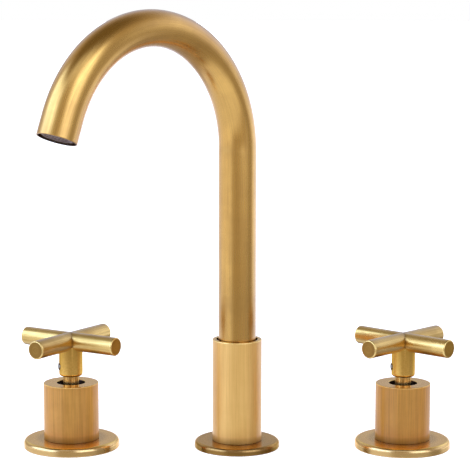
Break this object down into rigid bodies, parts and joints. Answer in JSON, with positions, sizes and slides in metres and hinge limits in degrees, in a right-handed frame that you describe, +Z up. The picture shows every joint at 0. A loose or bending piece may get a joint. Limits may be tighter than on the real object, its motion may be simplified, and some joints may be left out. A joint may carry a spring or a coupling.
{
  "type": "basin mixer faucet",
  "caption": "Three-hole basin mixer with a swivelling gooseneck spout and quarter-turn cross handles in brushed antique brass.",
  "frame": {"origin": "on the deck's top surface, on the axis of the spout's shank", "axes": "+Z up along the upright tube; -Y toward the user; the hot valve at -X and the cold valve at +X"},
  "size_m": [0.2641, 0.151, 0.3445],
  "materials": {
    "brushed_brass": "brushed antique brass, clear lacquer",
    "plain_brass": "machined, bare",
    "steel": "bright stainless",
    "black_rubber": "matt moulded",
    "ceramic": "lapped white alumina",
    "grey_plastic": "moulded acetal",
    "white_plastic": "turned low-friction plastic",
    "fibre": "vulcanised fibre",
    "foam_gasket": "closed-cell foam"
  },
  "bodies": {
    "deck_fittings": {"spout_collar": "brushed_brass", "spout_flange": "brushed_brass", "spout_flange_gasket": "foam_gasket", "spout_shank": "plain_brass", "spout_guide_bush": "white_plastic", "spout_glide_washer": "white_plastic", "spout_set_screw": "steel", "spout_rubber_washer": "black_rubber", "spout_metal_washer": "steel", "spout_lock_nut": "plain_brass", "spout_tee": "plain_brass", "spout_tee_seal": "fibre", "hot_fixed_disc": "ceramic", "hot_seat_seal": "black_rubber", "hot_cartridge_body": "plain_brass", "hot_cartridge_gasket": "fibre", "hot_collar": "brushed_brass", "hot_flange": "brushed_brass", "hot_flange_gasket": "foam_gasket", "hot_valve_body": "plain_brass", "hot_inlet_riser": "plain_brass", "hot_rubber_washer": "black_rubber", "hot_metal_washer": "steel", "hot_lock_nut": "plain_brass", "cold_fixed_disc": "ceramic", "cold_seat_seal": "black_rubber", "cold_cartridge_body": "plain_brass", "cold_cartridge_gasket": "fibre", "cold_collar": "brushed_brass", "cold_flange": "brushed_brass", "cold_flange_gasket": "foam_gasket", "cold_valve_body": "plain_brass", "cold_inlet_riser": "plain_brass", "cold_rubber_washer": "black_rubber", "cold_metal_washer": "steel", "cold_lock_nut": "plain_brass"},
    "spout": {"spout_tube": "brushed_brass", "swivel_tail": "plain_brass", "swivel_o_rings": "black_rubber", "outlet_sleeve": "plain_brass", "aerator_cartridge": "grey_plastic", "aerator_core": "grey_plastic", "aerator_screen": "steel", "aerator_washer": "black_rubber"},
    "hot_handle": {"hot_cross_handle": "brushed_brass", "hot_grub_screw": "steel", "hot_spindle": "plain_brass", "hot_spindle_o_rings": "black_rubber", "hot_spindle_clip": "steel", "hot_turning_disc": "ceramic"},
    "cold_handle": {"cold_cross_handle": "brushed_brass", "cold_grub_screw": "steel", "cold_spindle": "plain_brass", "cold_spindle_o_rings": "black_rubber", "cold_spindle_clip": "steel", "cold_turning_disc": "ceramic"}
  },
  "joints": [
    {"name": "spout_swivel", "type": "hinge", "parent": "deck_fittings", "child": "spout", "pos_m": [0, 0, 0.034], "axis": [0, 0, 1], "continuous": true},
    {"name": "hot_turn", "type": "hinge", "parent": "deck_fittings", "child": "hot_handle", "pos_m": [-0.1016, 0, 0.03], "axis": [0, 0, 1], "range_deg": [0, 90]},
    {"name": "cold_turn", "type": "hinge", "parent": "deck_fittings", "child": "cold_handle", "pos_m": [0.1016, 0, 0.03], "axis": [0, 0, -1], "range_deg": [0, 90]}
  ]
}
